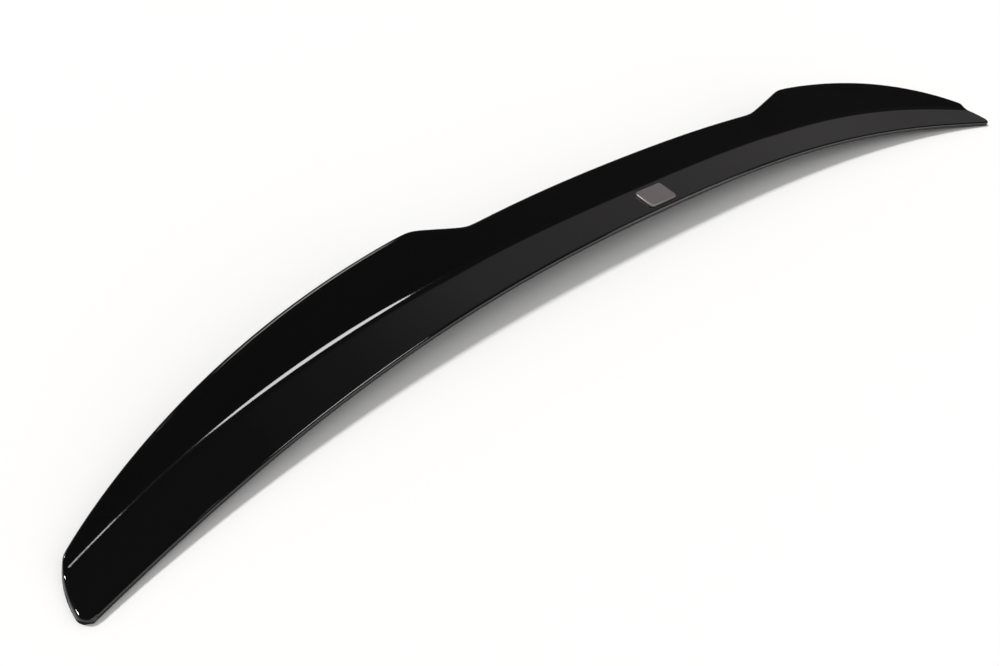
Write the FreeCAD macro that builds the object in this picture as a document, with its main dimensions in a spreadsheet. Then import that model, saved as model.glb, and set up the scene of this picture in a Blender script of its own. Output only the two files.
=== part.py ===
"""Spoiler extension: one long moulded strip that caps a car's rear edge, with a small bare badge plate.

Frame: X runs along the strip, Y from its smooth edge towards its stepped ridge, Z up. The strip lies on
its two tips and on the foot of the skirt under the ridge. All sizes are millimetres.
"""
import FreeCAD, Part
import math
import os

import Sketcher

doc = FreeCAD.newDocument("SpoilerExtension")

# Driving dimensions, one named cell each
sheet = doc.addObject("Spreadsheet::Sheet", "Dimensions")
sizes = {
    "tip_reach": 602.5,       # middle of the strip to the end of a tip
    "edge_reach": 620,        # middle of the strip to where the smooth edge would meet the tip line
    "edge_bow": 75.5,         # how far the smooth edge bows back between the tips
    "edge_crown": 20.5,       # how far its middle stands above the tips
    "lip_height": 4.5,        # face of the smooth edge
    "lip_round": 1.8,         # round along the top of that face
    "wall": 3,                # moulded wall
    "crease_depth": 106,      # tip line to the crease, in the middle
    "crease_end": 31.5,       # the same where the crease runs out at a tip
    "crease_round": 14,       # hollow round along the crease
    "ear_run": 36.5,          # crease to ridge over the ears, measured level
    "ear_slope": 0.76,        # rise over run of the ears' face
    "centre_run": 30,         # crease to ridge in the middle, measured level
    "centre_taper": 5.5,      # how much of that run is lost at the foot of the step
    "centre_height": 37.5,    # ridge above the rest plane between the ears
    "step_inner": 207,        # where the step up to an ear begins
    "step_outer": 264,        # where it ends
    "step_round": 7,          # softness of the step's two corners
    "ridge_round": 1.5,       # round along the ridge
    "skirt_lean": 0.33,       # how far the skirt leans in under the ridge, for each unit of height
    "tip_round": 72,          # nose of a tip, seen from above
    "tip_centre": 5,          # centre of that nose, from the tip line
    "tip_corner": 6,          # round between the nose and the smooth edge
    "tip_solid": 27.5,        # length of a tip that is solid
    "badge_width": 38,
    "badge_height": 1.8,
    "badge_corner": 4,
    "badge_round": 1.1,
    "badge_margin": 4.75,     # smooth edge to the badge, and badge to the crease
}
for row, (alias, value) in enumerate(sizes.items(), start=1):
    sheet.set(f"A{row}", alias)
    sheet.set(f"B{row}", str(value))
    sheet.setAlias(f"B{row}", alias)
doc.recompute()
size = {alias: float(sheet.get(alias)) for alias in sizes}

# Laws of the form: how the edges run along the strip
EDGE_POWER = 2.43
CROWN_POWER = 1.4
CREASE_POWER = 3.22
EAR_POWER = 5
LIP_FLATS = 3
RIDGE_FLATS = 4
TRIM_MARGIN = 1.5     # the strip is lofted this far past its tips and then trimmed
EAR_RUNOUT = 4.5      # the kick would fade out this far past a tip
CREASE_RUNOUT = 7.5   # the crease would reach its end this far past a tip
CORNER_SHARE = 0.45   # most of an edge that the round at one of its ends may take
TAPER_LIMIT = 1.2     # the centre's taper stops a little way up the step
FOOT_MARGIN = 2       # the skirt is lofted this far below the rest plane and then trimmed
NOSE_SHARE = 0.75     # share of a nose's radius that the trim reaches beyond the nose's centre
HALVINGS = 40         # steps in which the place of a tip's corner is narrowed down


def fade(x, reach, power):
    """Falls from 1 in the middle of the strip to 0 at the reach."""
    return 1 - (abs(x) / reach) ** power


def edge(x):
    """Foot of the smooth edge's face: its Y and its Z."""
    bow = fade(x, size["edge_reach"], EDGE_POWER)
    crown = max(fade(x, size["tip_reach"], EDGE_POWER), 0) ** CROWN_POWER
    return size["edge_bow"] * bow, size["edge_crown"] * crown


def crease_y(x):
    spread = size["crease_depth"] - size["crease_end"]
    return size["crease_end"] + spread * fade(x, size["tip_reach"] + CREASE_RUNOUT, CREASE_POWER)


def ear_share(x):
    """0 between the ears and 1 on them: a straight ramp whose two corners are hyperbolas."""
    def bend(distance):
        return (distance + math.hypot(distance, size["step_round"])) / 2
    width = size["step_outer"] - size["step_inner"]
    return (bend(abs(x) - size["step_inner"]) - bend(abs(x) - size["step_outer"])) / width


def ridge(x, band_z):
    """Sharp corner of the ridge, before it is rounded: its Y and its Z."""
    ear_run = size["ear_run"] * fade(x, size["tip_reach"] + EAR_RUNOUT, EAR_POWER)
    ear_z = band_z + size["ear_slope"] * ear_run
    taper = min(abs(x) / size["step_inner"], TAPER_LIMIT) ** 2
    centre_run = size["centre_run"] - size["centre_taper"] * taper
    share = ear_share(x)
    run = centre_run + (ear_run - centre_run) * share
    return crease_y(x) + run, size["centre_height"] + (ear_z - size["centre_height"]) * share


def unit(vector):
    length = math.hypot(*vector)
    return vector[0] / length, vector[1] / length


def along(point, direction, distance):
    return point[0] + direction[0] * distance, point[1] + direction[1] * distance


def setback(back, ahead, radius, room):
    """How far from a corner its round begins, between two directions that lead away from the corner."""
    half = math.acos(back[0] * ahead[0] + back[1] * ahead[1]) / 2
    return min(radius / math.tan(half), room), half


def hollow_round(corner, back, ahead, radius, room):
    """Poles of the curve that rounds a corner: its start, the corner and its end."""
    reach, _ = setback(back, ahead, radius, room)
    return along(corner, back, reach), corner, along(corner, ahead, reach)


def edge_round(corner, back, ahead, radius, room, flats):
    """Points of the arc that rounds a corner, joined by a few flats because the round is so tight."""
    reach, half = setback(back, ahead, radius, room)
    centre = along(corner, unit((back[0] + ahead[0], back[1] + ahead[1])), reach / math.cos(half))
    first, last = along(corner, back, reach), along(corner, ahead, reach)
    turn = math.pi - 2 * half
    points = []
    for i in range(flats + 1):
        early, late = math.sin(turn * (1 - i / flats)), math.sin(turn * i / flats)
        points.append(tuple(
            centre[k] + ((first[k] - centre[k]) * early + (last[k] - centre[k]) * late) / math.sin(turn)
            for k in range(2)
        ))
    return points


def station(x):
    """The corners of the strip's section at x, with the directions of its kick and of its skirt."""
    edge_y, edge_z = edge(x)
    band_z = edge_z + size["lip_height"]
    crease = crease_y(x), band_z
    top = ridge(x, band_z)
    rise = unit((top[0] - crease[0], top[1] - crease[1]))
    drop = unit((-size["skirt_lean"], -1))
    foot = along(top, drop, (top[1] + FOOT_MARGIN) / -drop[1])
    return edge_y, edge_z, band_z, crease, top, rise, drop, foot


def outer_section(x):
    """Closed outline of the strip at x as if solid: lip, band, crease, kick, ridge, skirt and foot."""
    edge_y, edge_z, band_z, crease, top, rise, drop, foot = station(x)
    kick = math.hypot(top[0] - crease[0], top[1] - crease[1])
    lip_room, kick_room = CORNER_SHARE * size["lip_height"], CORNER_SHARE * kick
    lip = edge_round((edge_y, band_z), (0, -1), (1, 0), size["lip_round"], lip_room, LIP_FLATS)
    hollow = hollow_round(crease, (-1, 0), rise, size["crease_round"], kick_room)
    back = -rise[0], -rise[1]
    crown = edge_round(top, back, drop, size["ridge_round"], kick_room, RIDGE_FLATS)
    inner_foot = foot[0] - size["wall"], foot[1]
    inner_lip = edge_y + size["wall"], edge_z
    before = [(edge_y, edge_z)] + lip + [hollow[0]]
    after = [hollow[2]] + crown + [foot, inner_foot, inner_lip, (edge_y, edge_z)]
    return list(zip(before, before[1:])) + [hollow] + list(zip(after, after[1:]))


def cavity_section(x):
    """Closed outline of the hollow under the strip at x, one wall inside the outer skin and open below."""
    edge_y, edge_z, band_z, crease, top, rise, drop, foot = station(x)
    wall = size["wall"]
    below = -2 * FOOT_MARGIN
    ceiling = band_z - wall
    turn = math.atan2(rise[1], rise[0])
    inner_crease = crease[0] + wall * math.tan(turn / 2), ceiling
    inner_skirt = along(top, (drop[1], -drop[0]), wall)
    # The kick's inner face meets the skirt's where both lines pass through one point
    gap = inner_skirt[0] - inner_crease[0], inner_skirt[1] - inner_crease[1]
    reach = (gap[0] * drop[1] - gap[1] * drop[0]) / (rise[0] * drop[1] - rise[1] * drop[0])
    apex = along(inner_crease, rise, reach)
    inner_foot = along(apex, drop, (apex[1] - below) / -drop[1])
    corners = [(edge_y + wall, below), (edge_y + wall, ceiling), inner_crease, apex, inner_foot]
    return list(zip(corners, corners[1:] + corners[:1]))


def wire(x, section):
    """A section's lines (two points) and rounds (three poles) as one closed wire in the plane at x."""
    edges = []
    for points in section:
        spots = [FreeCAD.Vector(x, y, z) for y, z in points]
        if len(spots) == 3:
            curve = Part.BezierCurve()
            curve.setPoles(spots)
            edges.append(curve.toShape())
        else:
            edges.append(Part.LineSegment(*spots).toShape())
    return Part.Wire(edges)


def spread(start, end, count):
    return [start + (end - start) * i / count for i in range(count)]


def stations(end):
    """Stations along the whole strip: close together on the steps, wider elsewhere."""
    margin = 2 * size["step_round"]
    inner, outer = size["step_inner"] - margin, size["step_outer"] + margin
    half = spread(0, inner, 3) + spread(inner, outer, 10) + spread(outer, end, 10) + [end]
    return [-x for x in reversed(half[1:])] + half


def loft(section, end):
    return Part.makeLoft([wire(x, section(x)) for x in stations(end)], True, False)


blank = doc.addObject("Part::Feature", "OuterSkin")
blank.Shape = loft(outer_section, size["tip_reach"] + TRIM_MARGIN)
hollow = doc.addObject("Part::Feature", "Hollow")
hollow.Shape = loft(cavity_section, size["tip_reach"] - size["tip_solid"])
shell = doc.addObject("Part::Cut", "HollowedStrip")
shell.Base = blank
shell.Tool = hollow

# The skirt's foot is trimmed flat on the rest plane
under = doc.addObject("Part::Box", "UnderRestPlane")
under.setExpression("Length", f"(Dimensions.tip_reach + {TRIM_MARGIN}) * 2")
under.setExpression("Width", "(Dimensions.crease_depth + Dimensions.ear_run + Dimensions.centre_run) * 2")
under.setExpression("Height", f"{FOOT_MARGIN} * 3")
under.setExpression("Placement.Base.x", "-Length / 2")
under.setExpression("Placement.Base.y", "-Width / 2")
under.setExpression("Placement.Base.z", "-Height")
footed = doc.addObject("Part::Cut", "FootTrimmed")
footed.Base = shell
footed.Tool = under
shell = footed


def corner_centre():
    """Centre of a tip's round corner, and the directions from it to the nose and to the smooth edge."""
    reach = size["tip_round"] - size["tip_corner"]
    low, high = -math.pi / 4, math.pi / 4
    for _ in range(HALVINGS):
        angle = (low + high) / 2
        x = size["tip_reach"] - size["tip_round"] + reach * math.cos(angle)
        y = size["tip_centre"] + reach * math.sin(angle)
        slope = edge(x + 0.5)[0] - edge(x - 0.5)[0]
        if (y - edge(x)[0]) / math.hypot(1, slope) < size["tip_corner"]:
            low = angle
        else:
            high = angle
    return (x, y), angle, math.atan2(-1, slope)


def arc(centre, radius, start, end):
    """Arc in plan between two directions from its centre."""
    spots = [
        FreeCAD.Vector(centre[0] + radius * math.cos(a), centre[1] + radius * math.sin(a), 0)
        for a in (start, (start + end) / 2, end)
    ]
    return Part.Arc(*spots).toShape(), spots[0], spots[2]


def tip_trim():
    """Block that stands outside the right tip: it is bounded by the corner's round and by the nose."""
    centre, on_nose, on_edge = corner_centre()
    nose_centre = size["tip_reach"] - size["tip_round"], size["tip_centre"]
    corner, first, _ = arc(centre, size["tip_corner"], on_edge, on_nose)
    nose, _, last = arc(nose_centre, size["tip_round"], on_nose, math.asin(NOSE_SHARE))
    outside = size["tip_reach"] + size["tip_round"]
    front = -size["tip_round"]
    rest = Part.makePolygon([
        last,
        FreeCAD.Vector(outside, last.y, 0),
        FreeCAD.Vector(outside, front, 0),
        FreeCAD.Vector(first.x, front, 0),
        first,
    ])
    plan = Part.Face(Part.Wire([corner, nose] + rest.Edges))
    plan.translate(FreeCAD.Vector(0, 0, -size["centre_height"]))
    return plan.extrude(FreeCAD.Vector(0, 0, size["centre_height"] * 3))


# Each tip is trimmed to its nose
for name, side in (("Left", -1), ("Right", 1)):
    trim = doc.addObject("Part::Feature", name + "Trim")
    outside = tip_trim()
    trim.Shape = outside if side > 0 else outside.mirror(FreeCAD.Vector(), FreeCAD.Vector(1, 0, 0))
    trimmed = doc.addObject("Part::Cut", name + "TipTrimmed")
    trimmed.Base = shell
    trimmed.Tool = trim
    shell = trimmed
shell.Label = "spoiler_shell"

# Badge plate: a plain rounded plate that lies on the band, close to the smooth edge
badge = doc.addObject("PartDesign::Body", "Badge")
badge.Label = "badge_plate"
sketch = badge.newObject("Sketcher::SketchObject", "BadgeOutline")
plane = next(item for item in badge.Origin.OriginFeatures if item.Role == "XY_Plane")
sketch.AttachmentSupport = [(plane, "")]
sketch.MapMode = "FlatFace"


def spot(x, y):
    return FreeCAD.Vector(x, y, 0)


band_width = "(Dimensions.crease_depth - Dimensions.edge_bow)"
badge_depth = f"({band_width} - 2 * Dimensions.badge_margin)"
badge_corner = f"min(Dimensions.badge_corner; {CORNER_SHARE} * {badge_depth})"
half_w = size["badge_width"] / 2
half_d = (size["crease_depth"] - size["edge_bow"]) / 2 - size["badge_margin"]
corner = min(size["badge_corner"], CORNER_SHARE * 2 * half_d)
quarter = math.pi / 2
runs = [
    (spot(corner - half_w, -half_d), spot(half_w - corner, -half_d)),
    (spot(half_w, corner - half_d), spot(half_w, half_d - corner)),
    (spot(half_w - corner, half_d), spot(corner - half_w, half_d)),
    (spot(-half_w, half_d - corner), spot(-half_w, corner - half_d)),
]
centres = [(1, -1), (1, 1), (-1, 1), (-1, -1)]
for run in runs:
    sketch.addGeometry(Part.LineSegment(*run), False)
for turn, (right, up) in enumerate(centres):
    centre = spot(right * (half_w - corner), up * (half_d - corner))
    circle = Part.Circle(centre, FreeCAD.Vector(0, 0, 1), corner)
    sketch.addGeometry(Part.ArcOfCircle(circle, (turn - 1) * quarter, turn * quarter), False)
for i in range(4):
    arc = 4 + i
    sketch.addConstraint(Sketcher.Constraint("Tangent", i, 2, arc, 1))
    sketch.addConstraint(Sketcher.Constraint("Tangent", arc, 2, (i + 1) % 4, 1))
    if i:
        sketch.addConstraint(Sketcher.Constraint("Equal", 4, arc))
sketch.addConstraint(Sketcher.Constraint("Horizontal", 0))
sketch.addConstraint(Sketcher.Constraint("Horizontal", 2))
sketch.addConstraint(Sketcher.Constraint("Vertical", 1))
sketch.addConstraint(Sketcher.Constraint("Vertical", 3))
for constraint, expression in (
    (Sketcher.Constraint("Radius", 4, corner), badge_corner),
    (Sketcher.Constraint("DistanceX", -1, 1, 1, 1, half_w), "Dimensions.badge_width / 2"),
    (Sketcher.Constraint("DistanceX", 3, 1, -1, 1, half_w), "Dimensions.badge_width / 2"),
    (Sketcher.Constraint("DistanceY", -1, 1, 2, 1, half_d), f"{badge_depth} / 2"),
    (Sketcher.Constraint("DistanceY", 0, 1, -1, 1, half_d), f"{badge_depth} / 2"),
):
    sketch.setExpression(f"Constraints[{sketch.addConstraint(constraint)}]", expression)
plate = badge.newObject("PartDesign::Pad", "BadgePlate")
plate.Profile = sketch
plate.setExpression("Length", "Dimensions.badge_height")
doc.recompute()
crown = badge.newObject("PartDesign::Fillet", "BadgeRound")
top_face = max(range(len(plate.Shape.Faces)), key=lambda i: plate.Shape.Faces[i].CenterOfMass.z)
crown.Base = (plate, [f"Face{top_face + 1}"])
crown.setExpression("Radius", "Dimensions.badge_round")
doc.recompute()

# The origin goes under the middle of the strip's box, on the rest plane
shell_box = shell.Shape.optimalBoundingBox(False)
middle = (shell_box.YMin + shell_box.YMax) / 2
badge_y = (size["edge_bow"] + size["crease_depth"]) / 2
badge_z = size["edge_crown"] + size["lip_height"]
shell.Placement = FreeCAD.Placement(FreeCAD.Vector(0, -middle, 0), FreeCAD.Rotation())
badge.Placement = FreeCAD.Placement(FreeCAD.Vector(0, badge_y - middle, badge_z), FreeCAD.Rotation())
doc.recompute()

for item in doc.Objects:
    if "Invalid" in item.State or "Error" in item.State:
        raise RuntimeError(f"{item.Name} did not build")
os.makedirs("parts", exist_ok=True)
for piece in (shell, badge):
    if piece.Shape.isNull() or not piece.Shape.isValid():
        raise RuntimeError(f"{piece.Label} has no sound shape")
    piece.Shape.exportStep(f"parts/{piece.Label}.step")
    print(piece.Label, len(piece.Shape.Solids), piece.Shape.Volume, piece.Shape.optimalBoundingBox(False))
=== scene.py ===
"""Looks of the spoiler extension: the gloss strip, the plate on it and a plain bright studio, in metres."""

import bpy
import numpy as np
from mathutils import Matrix


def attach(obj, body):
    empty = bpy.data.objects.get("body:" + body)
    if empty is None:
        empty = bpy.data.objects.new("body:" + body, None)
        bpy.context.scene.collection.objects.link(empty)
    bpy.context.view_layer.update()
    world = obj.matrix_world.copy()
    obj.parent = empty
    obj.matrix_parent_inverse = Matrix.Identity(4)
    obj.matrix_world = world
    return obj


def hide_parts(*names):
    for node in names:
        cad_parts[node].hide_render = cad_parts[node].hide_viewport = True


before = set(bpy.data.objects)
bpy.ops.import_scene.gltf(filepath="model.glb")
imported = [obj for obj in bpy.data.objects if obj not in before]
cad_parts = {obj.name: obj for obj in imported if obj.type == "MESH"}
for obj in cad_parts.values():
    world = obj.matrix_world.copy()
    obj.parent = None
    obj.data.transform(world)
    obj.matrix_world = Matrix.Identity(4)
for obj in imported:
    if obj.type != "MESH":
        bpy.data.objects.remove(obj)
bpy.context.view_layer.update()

# Strip: one thin shell of black ABS, formed over a tool and polished to a piano gloss on the outside.
# It is bonded on under its lip and skirt, so no fixing shows. The hidden inside and the lip's cut face keep
# the raw matte of the sheet. The tips are solid.

TIP_REACH, EDGE_REACH, CREASE_REACH, EAR_REACH = 0.6025, 0.620, 0.610, 0.614
EDGE_BOW, EDGE_CROWN, EDGE_POWER, CROWN_POWER = 0.0755, 0.0205, 2.43, 1.4
LIP_HEIGHT, LIP_ROUND, WALL = 0.0045, 0.0018, 0.003
CREASE_DEPTH, CREASE_END, CREASE_POWER, CREASE_ROUND = 0.106, 0.0315, 3.22, 0.014
EAR_RUN, EAR_SLOPE, EAR_POWER, EAR_BLUNTNESS = 0.0379, 0.76, 3.17, 0.7
CENTRE_RUN, CENTRE_TAPER, TAPER_END, CENTRE_HEIGHT = 0.030, 0.0055, 1.2, 0.0375
STEP_INNER, STEP_OUTER, STEP_ROUND = 0.207, 0.264, 0.007
RIDGE_ROUND, SKIRT_LEAN = 0.0015, 0.33
TIP_ROUND, TIP_CENTRE, TIP_CORNER, TIP_EDGE = 0.072, 0.005, 0.006, 0.0018
NOSE_START, SOLID_START, SOLID_DRAFT = 0.560, 0.572, 0.004
# a rounding takes at most these shares of the kick, outside and inside, and an inner one at most INNER_SOFT
KICK_SHARE, INNER_SHARE, INNER_SOFT = 0.45, 0.3, 0.0025
# share of the inner lip wall that lies opposite the lip's face, with the rest opposite its round
INNER_LIP_SHARE = 0.6
# from the line on which the edge's bow runs out, past the tips, to the frame's origin half way across
DEPTH_MIDDLE = 0.071069
SHARP_ANGLE = np.radians(40)
GLOSS_BLACK = (0.0032, 0.003, 0.003, 1)
RAW_BLACK = (0.012, 0.012, 0.013, 1)
RAW_ROUGHNESS, GLOSS_SPECULAR, RAW_SPECULAR = 0.5, 0.5, 0.15
# least and most roughness, strength of the peel and its scale
GLOSS_WEAR = (0.045, 0.075, 0.02, 320.0)


def fade(x, reach, power):
    """1 in the middle and 0 at the reach: 1 - (|x| / reach) ** power."""
    return 1 - (np.abs(x) / reach) ** power


def bend(d):
    """0 before a bend and d after it, with a round corner: (d + hypot(d, round)) / 2."""
    return (d + np.hypot(d, STEP_ROUND)) / 2


def corner_lines(x):
    """Edge, band, crease and ridge at each x.

    edge y = bow * fade(x) and edge z = crown * fade(x) ** power, and the band is one lip higher. The ridge is
    mixed from the centre's run and height to the ears' by a step between two bends.
    """
    edge_y = EDGE_BOW * fade(x, EDGE_REACH, EDGE_POWER)
    edge_z = EDGE_CROWN * np.maximum(fade(x, TIP_REACH, EDGE_POWER), 0) ** CROWN_POWER
    band_z = edge_z + LIP_HEIGHT
    crease_y = CREASE_END + (CREASE_DEPTH - CREASE_END) * fade(x, CREASE_REACH, CREASE_POWER)
    ear_run = EAR_RUN * fade(x, EAR_REACH, EAR_POWER) ** EAR_BLUNTNESS
    centre_run = CENTRE_RUN - CENTRE_TAPER * np.minimum(np.abs(x) / STEP_INNER, TAPER_END) ** 2
    step = (bend(np.abs(x) - STEP_INNER) - bend(np.abs(x) - STEP_OUTER)) / (STEP_OUTER - STEP_INNER)
    ridge_y = crease_y + centre_run + (ear_run - centre_run) * step
    ridge_z = CENTRE_HEIGHT + (band_z + EAR_SLOPE * ear_run - CENTRE_HEIGHT) * step
    return edge_y, edge_z, band_z, crease_y, ridge_y, ridge_z


def mix(a, b, s):
    """a at s = 0 and b at s = 1: a + (b - a) * s."""
    return a + (b - a) * s


def curve(a, b, c, s):
    """Bent line from a to c that is drawn to b: (1-s)^2 a + 2 s (1-s) b + s^2 c."""
    return (1 - s) ** 2 * a + 2 * s * (1 - s) * b + s**2 * c


LIP_COUNT = 4
# points on the lip, its round, the band, the crease, the kick, the ridge and the skirt
SPANS = (LIP_COUNT, 9, 16, 18, 16, 14, 8)
PROFILE_COUNT = sum(SPANS)


def profile(x):
    """Outer and inner (y, z) of the section at x, an array with one column per profile point.

    Outer: lip face, quarter round, band, hollow crease, kick, round ridge, skirt. Inner: the same lines one
    wall inside, each column opposite its outer one.
    """
    ends = np.cumsum(SPANS)
    columns = [slice(e - n, e) for e, n in zip(ends, SPANS)]
    # a span's first point follows the last one of the span before it
    along = [np.arange(1, n + 1) / n for n in SPANS]
    along[0] = np.linspace(0, 1, LIP_COUNT)
    y, z, inner_y, inner_z = np.empty((4,) + x.shape)

    def lines(span):
        edge_y, edge_z, band_z, crease_y, ridge_y, ridge_z = corner_lines(x[:, columns[span]])
        kick = np.hypot(ridge_y - crease_y, ridge_z - band_z)
        rise = np.array([ridge_y - crease_y, ridge_z - band_z]) / kick
        return edge_y, edge_z, band_z, crease_y, ridge_y, ridge_z, kick, rise

    drop = np.array([-SKIRT_LEAN, -1]) / np.hypot(SKIRT_LEAN, 1)
    out_angle = np.arctan2(drop[0], -drop[1])
    for span, (col, s) in enumerate(zip(columns, along)):
        edge_y, edge_z, band_z, crease_y, ridge_y, ridge_z, kick, rise = lines(span)
        turn = np.arctan2(rise[1], rise[0])
        hollow = np.minimum(CREASE_ROUND * np.tan(turn / 2), KICK_SHARE * kick)
        half = np.arccos(-(rise[0] * drop[0] + rise[1] * drop[1])) / 2
        setback = np.minimum(RIDGE_ROUND / np.tan(half), KICK_SHARE * kick)
        radius = setback * np.tan(half)
        ceiling = band_z - WALL
        in_crease = crease_y + WALL * np.tan(turn / 2)
        # the inner kick meets the inner skirt at the apex
        skirt_y = ridge_y - WALL / -drop[1]
        run = (skirt_y + (ceiling - ridge_z) * SKIRT_LEAN - in_crease) / (rise[0] - SKIRT_LEAN * rise[1])
        apex_y, apex_z = in_crease + run * rise[0], ceiling + run * rise[1]
        soft = np.minimum(INNER_SOFT, INNER_SHARE * run)
        if span == 0:
            y[:, col], z[:, col] = edge_y, mix(edge_z, band_z - LIP_ROUND, s)
            inner_y[:, col], inner_z[:, col] = edge_y + WALL, mix(edge_z, ceiling, INNER_LIP_SHARE * s)
        elif span == 1:
            y[:, col] = edge_y + LIP_ROUND * (1 - np.cos(s * np.pi / 2))
            z[:, col] = band_z - LIP_ROUND * (1 - np.sin(s * np.pi / 2))
            inner_y[:, col] = edge_y + WALL
            inner_z[:, col] = mix(edge_z, ceiling, mix(INNER_LIP_SHARE, 1, s))
        elif span == 2:
            y[:, col], z[:, col] = mix(edge_y + LIP_ROUND, crease_y - hollow, s), band_z
            inner_y[:, col], inner_z[:, col] = mix(edge_y + WALL, in_crease - soft, s), ceiling
        elif span == 3:
            y[:, col] = curve(crease_y - hollow, crease_y, crease_y + hollow * rise[0], s)
            z[:, col] = curve(band_z, band_z, band_z + hollow * rise[1], s)
            inner_y[:, col] = curve(in_crease - soft, in_crease, in_crease + soft * rise[0], s)
            inner_z[:, col] = curve(ceiling, ceiling, ceiling + soft * rise[1], s)
        elif span == 4:
            y[:, col] = mix(crease_y + hollow * rise[0], ridge_y - setback * rise[0], s)
            z[:, col] = mix(band_z + hollow * rise[1], ridge_z - setback * rise[1], s)
            inner_y[:, col] = mix(in_crease + soft * rise[0], apex_y - soft * rise[0], s)
            inner_z[:, col] = mix(ceiling + soft * rise[1], apex_z - soft * rise[1], s)
        elif span == 5:
            aim = mix(turn + np.pi / 2, out_angle, s)
            centre_y = ridge_y - setback * rise[0] + radius * rise[1]
            centre_z = ridge_z - setback * rise[1] - radius * rise[0]
            y[:, col], z[:, col] = centre_y + radius * np.cos(aim), centre_z + radius * np.sin(aim)
            inner_y[:, col] = curve(apex_y - soft * rise[0], apex_y, apex_y + soft * drop[0], s)
            inner_z[:, col] = curve(apex_z - soft * rise[1], apex_z, apex_z + soft * drop[1], s)
        else:
            top_y, top_z = ridge_y + setback * drop[0], ridge_z + setback * drop[1]
            y[:, col], z[:, col] = mix(top_y, ridge_y - SKIRT_LEAN * ridge_z, s), mix(top_z, 0, s)
            top_y, top_z = apex_y + soft * drop[0], apex_z + soft * drop[1]
            inner_y[:, col], inner_z[:, col] = mix(top_y, top_y - SKIRT_LEAN * top_z, s), mix(top_z, 0, s)
    return y, z, inner_y, inner_z


def smoothstep(x, low, high):
    """0 below low and 1 above high: t * t * (3 - 2 t)."""
    t = np.clip((x - low) / (high - low), 0, 1)
    return t * t * (3 - 2 * t)


# centre of a tip's small corner, which touches the edge line and the nose, and the turn to it from the
# nose's centre: rounded values that follow from the tip's and the edge's sizes and have to change with them
CORNER_X, CORNER_Y, CORNER_TURN = 0.5960, 0.0131, 0.123
CORNER_TOP = CORNER_Y + TIP_CORNER * np.sin(CORNER_TURN)


def tip_x(y):
    """End of a tip at each y, centre + sqrt(r^2 - (y - y0)^2), on the nose or before it on the corner."""
    nose = TIP_REACH - TIP_ROUND + np.sqrt(np.maximum(TIP_ROUND**2 - (y - TIP_CENTRE) ** 2, 0))
    corner = CORNER_X + np.sqrt(np.maximum(TIP_CORNER**2 - (y - CORNER_Y) ** 2, 0))
    return np.where(y < CORNER_TOP, corner, nose)


def tip_distance(x, y):
    """Distance in from a tip's outline, radius - hypot(offset) by the nose or corner, and large elsewhere."""
    nose = TIP_ROUND - np.hypot(x - TIP_REACH + TIP_ROUND, y - TIP_CENTRE)
    corner = TIP_CORNER - np.hypot(x - CORNER_X, y - CORNER_Y)
    by_corner = (x > CORNER_X - TIP_CORNER / 3) & (y < CORNER_TOP)
    return np.where(x > NOSE_START, np.where(by_corner, corner, nose), TIP_ROUND)


STEPS_START, STEPS_END = 0.185, 0.290
# share of the nose that its rolled edge takes, and tries and pace in finding each column's end
ROLL_SHARE, END_TRIES, END_PACE = 0.06, 12, 0.7


def strip_grid():
    """Grid of the closed skin: stations along X by points round the section.

    Past NOSE_START each column's stations are drawn in so that its last one lies on the tip's outline, and
    the top edge there rolls down by TIP_EDGE: drop = r - sqrt(r^2 - (r - distance)^2). Past SOLID_START the
    inner columns drop to the line from the inner foot to the inner lip. Stations are closer at the steps and
    tips.
    """
    rolled = mix(NOSE_START, TIP_REACH, 1 - ROLL_SHARE * (1 - np.linspace(0, 1, 12)) ** 2)
    half = np.concatenate(
        [
            np.linspace(0, STEPS_START, 44),
            np.linspace(STEPS_START, STEPS_END, 72)[1:],
            np.linspace(STEPS_END, NOSE_START, 84)[1:],
            np.linspace(NOSE_START, rolled[0], 44)[1:],
            rolled[1:],
        ]
    )
    station = np.concatenate([-half[:0:-1], half])
    count = PROFILE_COUNT
    share = np.linspace(0, 1, count)
    last = np.full((1, 2 * count), TIP_REACH - TIP_CORNER)
    for _ in range(END_TRIES):
        y, z, inner_y, inner_z = section_at(last, share)
        last = mix(last, tip_x(np.concatenate([y, inner_y], 1)), END_PACE)
    into_nose = np.clip((np.abs(station) - NOSE_START) / (TIP_REACH - NOSE_START), 0, 1)[:, None]
    reach = np.where(into_nose > 0, mix(NOSE_START, last, into_nose), np.abs(station)[:, None])
    x = np.sign(station)[:, None] * reach
    y, z, inner_y, inner_z = section_at(x, share)
    left = np.clip(TIP_EDGE - tip_distance(reach[:, :count], y), 0, TIP_EDGE)
    roll = TIP_EDGE - np.sqrt(TIP_EDGE**2 - left**2)
    z = z - roll * np.clip((z - inner_z) / TIP_EDGE, 0, 1)
    outer = np.stack([x[:, :count], y - DEPTH_MIDDLE, z], 2)
    inner = np.stack([x[:, count:], inner_y - DEPTH_MIDDLE, inner_z], 2)
    return np.concatenate([outer, inner[:, ::-1]], 1)


def section_at(x, share):
    """Section at x, solid at the tips: half of x's columns give the outer line and the rest the inner."""
    count = PROFILE_COUNT
    y, z, _, _ = profile(x[:, :count])
    _, _, inner_y, inner_z = profile(x[:, count:])
    solid = smoothstep(np.abs(x[:, count:]), SOLID_START, SOLID_START + SOLID_DRAFT)
    inner_y_solid = mix(inner_y[:, :1], inner_y[:, -1:], share)
    inner_z_solid = mix(inner_z[:, :1], 0, share)
    return y, z, mix(inner_y, inner_y_solid, solid), mix(inner_z, inner_z_solid, solid)


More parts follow.
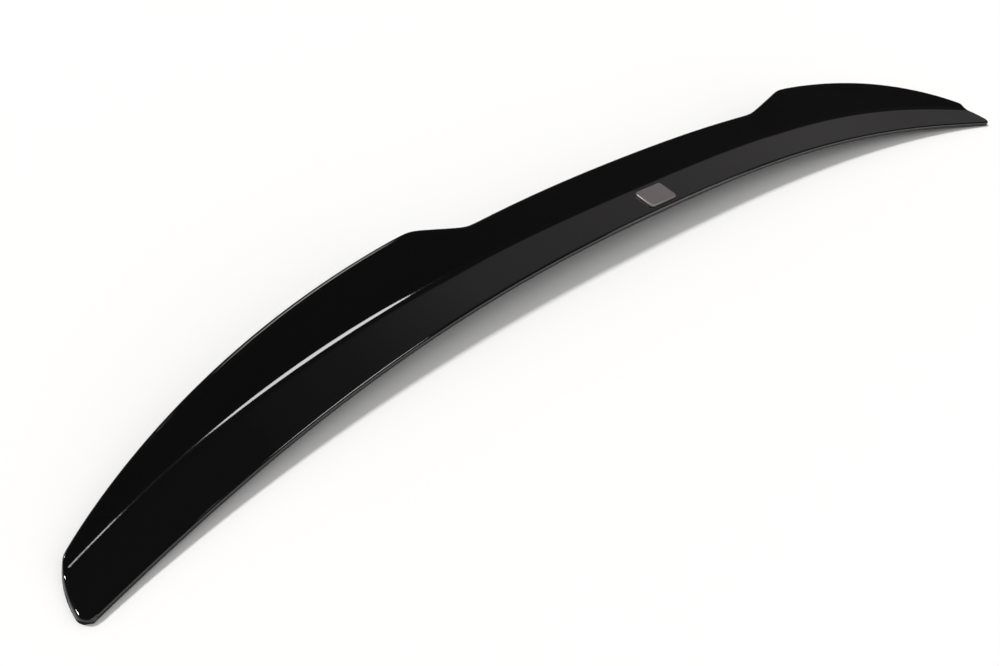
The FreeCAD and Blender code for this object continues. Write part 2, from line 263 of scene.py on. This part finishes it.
def grid_mesh(name, grid, caps):
    """Mesh of a grid that closes round its second axis, with caps.

    Its quads are (i, j), (i+1, j), (i+1, j+1), (i, j+1).
    """
    rows, cols = grid.shape[:2]
    number = np.arange(rows * cols).reshape(rows, cols)
    after = np.roll(number, -1, axis=1)
    quads = np.stack([number[:-1], number[1:], after[1:], after[:-1]], 2).reshape(-1, 4)
    faces = np.concatenate([quads, caps(number)])
    mesh = bpy.data.meshes.new(name)
    mesh.from_pydata(grid.reshape(-1, 3), [], faces)
    mesh.shade_smooth()
    mesh.set_sharp_from_angle(angle=SHARP_ANGLE)
    mesh.update()
    return mesh


def strip_caps(number):
    """End caps: each outer point is joined to the inner point opposite it."""
    count = PROFILE_COUNT
    outer, inner = number[:, :count], number[:, :count - 1:-1]
    quads = np.stack([outer[:, :-1], outer[:, 1:], inner[:, 1:], inner[:, :-1]], 2)
    return np.concatenate([quads[0], quads[-1][:, ::-1]])


def node(tree, kind, **values):
    """Shader node of a kind; values are set on its own sockets by name, with _ for a blank."""
    made = tree.nodes.new(kind)
    for name, value in values.items():
        made.inputs[name.replace("_", " ")].default_value = value
    return made


WEAR_AMOUNTS = ("Least Roughness", "Most Roughness", "Peel", "Peel Scale")


def fine_wear_group():
    """Node group: polish marks and faint orange peel, as a roughness and a normal."""
    tree = bpy.data.node_groups.new("fine_wear", "ShaderNodeTree")
    face = tree.interface
    for label in WEAR_AMOUNTS:
        face.new_socket(label, in_out="INPUT", socket_type="NodeSocketFloat")
    face.new_socket("Roughness", in_out="OUTPUT", socket_type="NodeSocketFloat")
    face.new_socket("Normal", in_out="OUTPUT", socket_type="NodeSocketVector")
    given, result = tree.nodes.new("NodeGroupInput"), tree.nodes.new("NodeGroupOutput")
    place = tree.nodes.new("ShaderNodeTexCoord")
    smear = node(tree, "ShaderNodeTexNoise", Scale=14.0, Detail=5.0, Roughness=0.6)
    rough = node(tree, "ShaderNodeMapRange", From_Min=0.45, From_Max=0.75)
    peel = node(tree, "ShaderNodeTexNoise", Detail=1.0, Roughness=0.4)
    bump = node(tree, "ShaderNodeBump", Distance=0.0002)
    link = tree.links.new
    link(place.outputs["Object"], smear.inputs["Vector"])
    link(smear.outputs["Fac"], rough.inputs["Value"])
    link(given.outputs["Least Roughness"], rough.inputs["To Min"])
    link(given.outputs["Most Roughness"], rough.inputs["To Max"])
    link(place.outputs["Object"], peel.inputs["Vector"])
    link(given.outputs["Peel Scale"], peel.inputs["Scale"])
    link(peel.outputs["Fac"], bump.inputs["Height"])
    link(given.outputs["Peel"], bump.inputs["Strength"])
    link(rough.outputs["Result"], result.inputs["Roughness"])
    link(bump.outputs["Normal"], result.inputs["Normal"])
    return tree


def wear_node(tree, group, amounts):
    """A use of the fine wear group, with its amounts in the order of WEAR_AMOUNTS."""
    made = tree.nodes.new("ShaderNodeGroup")
    made.node_tree = group
    for label, amount in zip(WEAR_AMOUNTS, amounts):
        made.inputs[label].default_value = amount
    return made


def strip_material(wear):
    """Polished black outside, raw matte where the mesh attribute inside is 1."""
    material = bpy.data.materials.new("gloss_black")
    material.use_nodes = True
    tree = material.node_tree
    shader = tree.nodes["Principled BSDF"]
    shader.inputs["IOR"].default_value = 1.5
    polish = wear_node(tree, wear, GLOSS_WEAR)
    inside = tree.nodes.new("ShaderNodeAttribute")
    inside.attribute_name = "inside"
    colour = tree.nodes.new("ShaderNodeValToRGB")
    colour.color_ramp.elements[0].color = GLOSS_BLACK
    colour.color_ramp.elements[1].color = RAW_BLACK
    rough = node(tree, "ShaderNodeMapRange", To_Max=RAW_ROUGHNESS)
    sheen = node(tree, "ShaderNodeMapRange", To_Min=GLOSS_SPECULAR, To_Max=RAW_SPECULAR)
    link = tree.links.new
    link(inside.outputs["Fac"], colour.inputs["Fac"])
    link(inside.outputs["Fac"], rough.inputs["Value"])
    link(inside.outputs["Fac"], sheen.inputs["Value"])
    link(polish.outputs["Roughness"], rough.inputs["To Min"])
    link(colour.outputs["Color"], shader.inputs["Base Color"])
    link(rough.outputs["Result"], shader.inputs["Roughness"])
    link(sheen.outputs["Result"], shader.inputs["Specular IOR Level"])
    link(polish.outputs["Normal"], shader.inputs["Normal"])
    return material


fine_wear = fine_wear_group()
strip_points = strip_grid()
strip_mesh = grid_mesh("spoiler_skin", strip_points, strip_caps)
inside_flags = np.zeros(strip_points.shape[:2], np.float32)
inside_flags[:, PROFILE_COUNT + 1 :] = 1
inside_flags[:, :LIP_COUNT] = 1
strip_mesh.attributes.new("inside", "FLOAT", "POINT").data.foreach_set("value", inside_flags.ravel())
strip_mesh.materials.append(strip_material(fine_wear))
spoiler_skin = bpy.data.objects.new("spoiler_skin", strip_mesh)
bpy.context.scene.collection.objects.link(spoiler_skin)
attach(spoiler_skin, "root")
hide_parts("spoiler_shell")

# Plate: a small plain badge pressed from aluminium, with a raised, rounded rim and a slightly domed satin
# field. It is stuck to the middle of the band.

PLATE_HALF_WIDTH, PLATE_HALF_DEPTH, PLATE_CORNER = 0.019, 0.0105, 0.004
PLATE_BASE, PLATE_HEIGHT, PLATE_MIDDLE_Y = 0.025, 0.0018, 0.09075 - DEPTH_MIDDLE
PLATE_ROUND, PLATE_RIM, PLATE_STEP, PLATE_SINK = 0.0009, 0.0015, 0.0006, 0.0004
PLATE_POINTS = 96
PLATE_SILVER, PLATE_METAL = (0.32, 0.29, 0.29, 1), 0.85
SATIN_WEAR = (0.34, 0.44, 0.15, 1400.0)


def plate_grid():
    """Rings of a rounded rectangle from the foot up the side, over the rim and across the field.

    A ring at inset d is the corner centre (width - corner, depth - corner) + (corner - d) * (cos a, sin a).
    Across the field the rings shrink in proportion, and z falls by sink * share^2 from the middle.
    """
    turn = np.linspace(0, -2 * np.pi, PLATE_POINTS, endpoint=False) - np.pi / PLATE_POINTS
    towards_x, towards_y = np.cos(turn), np.sin(turn)
    corner_x = np.sign(towards_x) * (PLATE_HALF_WIDTH - PLATE_CORNER)
    corner_y = np.sign(towards_y) * (PLATE_HALF_DEPTH - PLATE_CORNER)
    lift = np.linspace(0, np.pi / 2, 7)
    round_in, round_up = PLATE_ROUND * (1 - np.cos(lift[1:])), PLATE_ROUND * (1 - np.sin(lift[1:]))
    inset = np.concatenate([[0, 0], round_in, [PLATE_RIM, PLATE_RIM + PLATE_STEP]])
    below_top = np.concatenate([[PLATE_HEIGHT, PLATE_ROUND], round_up, [0, PLATE_SINK]])[:, None]
    reach = (PLATE_CORNER - inset)[:, None]
    ring_x = corner_x + reach * towards_x
    ring_y = corner_y + reach * towards_y
    shrink = np.linspace(1, 0.02, 12)[1:, None]
    field_x, field_y = ring_x[-1] * shrink, ring_y[-1] * shrink
    x = np.concatenate([ring_x, field_x])
    y = np.concatenate([ring_y, field_y]) + PLATE_MIDDLE_Y
    z = PLATE_BASE + PLATE_HEIGHT - np.concatenate([below_top, PLATE_SINK * shrink**2])
    return np.stack([x, y, np.broadcast_to(z, x.shape)], 2)


def plate_caps(number):
    """Floor and middle of the plate as strips of quads across the first and last ring."""
    count = number.shape[1] // 2
    first, last = number[0], number[-1]
    strips = [
        np.stack([ring[: count - 1], ring[1:count], ring[::-1][1:count], ring[::-1][: count - 1]], 1)
        for ring in (first, last)
    ]
    return np.concatenate([strips[0], strips[1][:, ::-1]])


def plate_material(wear):
    """Satin silver with a fine grain."""
    material = bpy.data.materials.new("badge_silver")
    material.use_nodes = True
    tree = material.node_tree
    shader = tree.nodes["Principled BSDF"]
    shader.inputs["Base Color"].default_value = PLATE_SILVER
    shader.inputs["Metallic"].default_value = PLATE_METAL
    satin = wear_node(tree, wear, SATIN_WEAR)
    tree.links.new(satin.outputs["Roughness"], shader.inputs["Roughness"])
    tree.links.new(satin.outputs["Normal"], shader.inputs["Normal"])
    return material


plate_mesh = grid_mesh("badge_face", plate_grid(), plate_caps)
plate_mesh.materials.append(plate_material(fine_wear))
badge_face = bpy.data.objects.new("badge_face", plate_mesh)
bpy.context.scene.collection.objects.link(badge_face)
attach(badge_face, "root")
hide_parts("badge_plate")

# Studio: a white floor, lit by a key from behind the strip and an even light overhead. The strip mirrors a
# dim graded panel, a low lamp in front, small lamps for the lights on the crease and lip, and walls that
# are pale low down and dark above.

FLOOR_HALF, FLOOR_Z = 40.0, -0.0002
FLOOR_WHITE = (0.93, 0.925, 0.915, 1)


def flat_grid(name, x, y, z):
    """Level sheet as a grid: every x by every y at one height z."""
    x, y = np.meshgrid(x, y, indexing="ij")
    points = np.stack([x, y, np.full_like(x, z)], 2)
    number = np.arange(x.size).reshape(x.shape)
    quads = np.stack([number[:-1, :-1], number[1:, :-1], number[1:, 1:], number[:-1, 1:]], 2)
    mesh = bpy.data.meshes.new(name)
    mesh.from_pydata(points.reshape(-1, 3), [], quads.reshape(-1, 4))
    return mesh


floor_material = bpy.data.materials.new("floor_white")
floor_material.use_nodes = True
floor_shader = floor_material.node_tree.nodes["Principled BSDF"]
floor_shader.inputs["Base Color"].default_value = FLOOR_WHITE
floor_shader.inputs["Roughness"].default_value = 0.9
floor_shader.inputs["Specular IOR Level"].default_value = 0.0
floor_side = np.linspace(-FLOOR_HALF, FLOOR_HALF, 9)
floor = bpy.data.objects.new("floor", flat_grid("floor", floor_side, floor_side, FLOOR_Z))
floor.data.materials.append(floor_material)
bpy.context.scene.collection.objects.link(floor)


def aimed(back, place, roll=0.0):
    """Matrix of a camera or lamp at a place whose back points along a direction, turned by roll about it."""
    back = np.array(back, float) / np.linalg.norm(back)
    right = np.cross((0, 0, 1), back)
    right = right / np.linalg.norm(right) if np.linalg.norm(right) > 1e-6 else np.array([1.0, 0, 0])
    up = np.cross(back, right)
    right, up = np.cos(roll) * right + np.sin(roll) * up, np.cos(roll) * up - np.sin(roll) * right
    turned = np.eye(4)
    turned[:3] = np.column_stack([right, up, back, place])
    return Matrix(turned)


def area_lamp(name, place, aim, width, height, radiance, turn=0.0, mirrored=True):
    """Flat oval lamp, power = radiance * pi * area, that is either mirrored or lights the floor."""
    data = bpy.data.lights.new(name, "AREA")
    data.shape, data.size, data.size_y = "ELLIPSE", width, height
    data.energy = radiance * np.pi * (np.pi / 4 * width * height)
    lamp = bpy.data.objects.new(name, data)
    lamp.matrix_world = aimed(np.subtract(place, aim), place, np.radians(turn))
    lamp.visible_camera = False
    lamp.visible_glossy, lamp.visible_diffuse = mirrored, not mirrored
    bpy.context.scene.collection.objects.link(lamp)


area_lamp("ceiling_lamp", (0.522, -0.27, 1.2), (0.522, -0.27, 0), 0.38, 0.4, 14.0, turn=22.5)
area_lamp("tip_lamp", (0.204, -0.3, 1.2), (0.204, -0.3, 0), 0.015, 0.2, 12.0, turn=31.0)
area_lamp("edge_lamp", (1.6, -1.0, 0.7), (0, 0, 0), 0.3, 0.25, 6.0)
area_lamp("front_fill", (-0.1, -1.6, 0.3), (0, 0, 0.02), 1.6, 0.5, 1.2)
area_lamp("overhead", (0, 0, 4), (0, 0, 0), 90.0, 90.0, 0.48, mirrored=False)

PANEL_START, PANEL_LENGTH, PANEL_SIDES, PANEL_Z = 0.2, 4.8, (0.45, 1.25), 1.2
PANEL_GLOW = ((0.0, 0.06), (0.06, 0.10), (0.16, 0.29), (0.6, 0.27), (1.0, 0.16))

panel_along = np.linspace(PANEL_START, PANEL_START + PANEL_LENGTH, 9)
panel_data = flat_grid("panel", panel_along, np.array(PANEL_SIDES), PANEL_Z)
panel_material = bpy.data.materials.new("panel_glow")
panel_material.use_nodes = True
panel_tree = panel_material.node_tree
panel_place = panel_tree.nodes.new("ShaderNodeTexCoord")
panel_split = panel_tree.nodes.new("ShaderNodeSeparateXYZ")
panel_share = node(panel_tree, "ShaderNodeMapRange", From_Min=panel_along[0], From_Max=panel_along[-1])
panel_ramp = panel_tree.nodes.new("ShaderNodeValToRGB")
panel_stops = panel_ramp.color_ramp.elements
for stop in PANEL_GLOW[1:-1]:
    panel_stops.new(stop[0])
for element, (at, glow) in zip(panel_stops, PANEL_GLOW):
    element.position, element.color = at, (glow, glow * 0.95, glow * 0.96, 1)
panel_glow = panel_tree.nodes.new("ShaderNodeEmission")
panel_tree.links.new(panel_place.outputs["Object"], panel_split.inputs["Vector"])
panel_tree.links.new(panel_split.outputs["X"], panel_share.inputs["Value"])
panel_tree.links.new(panel_share.outputs["Result"], panel_ramp.inputs["Fac"])
panel_tree.links.new(panel_ramp.outputs["Color"], panel_glow.inputs["Color"])
panel_tree.links.new(panel_glow.outputs["Emission"], panel_tree.nodes["Material Output"].inputs["Surface"])
panel = bpy.data.objects.new("panel", panel_data)
panel.data.materials.append(panel_material)
panel.visible_camera = panel.visible_shadow = panel.visible_diffuse = False
bpy.context.scene.collection.objects.link(panel)

key_data = bpy.data.lights.new("key", "SUN")
key_data.energy, key_data.angle = 2.15, np.radians(9)
key = bpy.data.objects.new("key", key_data)
key.matrix_world = aimed((-0.35, 0.5, 0.79), (0, 0, 3))
bpy.context.scene.collection.objects.link(key)

world = bpy.data.worlds.new("studio")
world.use_nodes = True
bpy.context.scene.world = world
sky = world.node_tree
direction = sky.nodes.new("ShaderNodeTexCoord")
split = sky.nodes.new("ShaderNodeSeparateXYZ")
ramp = sky.nodes.new("ShaderNodeValToRGB")
ramp.color_ramp.elements[0].position, ramp.color_ramp.elements[0].color = 0.13, (0.93, 0.925, 0.92, 1)
ramp.color_ramp.elements[1].position, ramp.color_ramp.elements[1].color = 0.27, (0.042, 0.04, 0.04, 1)
sky.links.new(direction.outputs["Generated"], split.inputs["Vector"])
sky.links.new(split.outputs["Z"], ramp.inputs["Fac"])
sky.links.new(ramp.outputs["Color"], sky.nodes["Background"].inputs["Color"])

# Camera: the photograph's own place, found from the strip's outline.

CAMERA_PLACE = (-0.82662, -0.35387, 0.53998)
CAMERA_AZIMUTH, CAMERA_ELEVATION, CAMERA_ROLL = np.radians((-60.49, 38.40, 20.99))

camera_data = bpy.data.cameras.new("camera")
camera_data.lens, camera_data.sensor_width = 43.2, 36.0
camera_data.clip_start = 0.01
camera = bpy.data.objects.new("camera", camera_data)
camera_back = (
    np.sin(CAMERA_AZIMUTH) * np.cos(CAMERA_ELEVATION),
    -np.cos(CAMERA_AZIMUTH) * np.cos(CAMERA_ELEVATION),
    np.sin(CAMERA_ELEVATION),
)
camera.matrix_world = aimed(camera_back, CAMERA_PLACE, CAMERA_ROLL)
bpy.context.scene.collection.objects.link(camera)
bpy.context.scene.camera = camera
bpy.context.scene.view_settings.view_transform = "Standard"
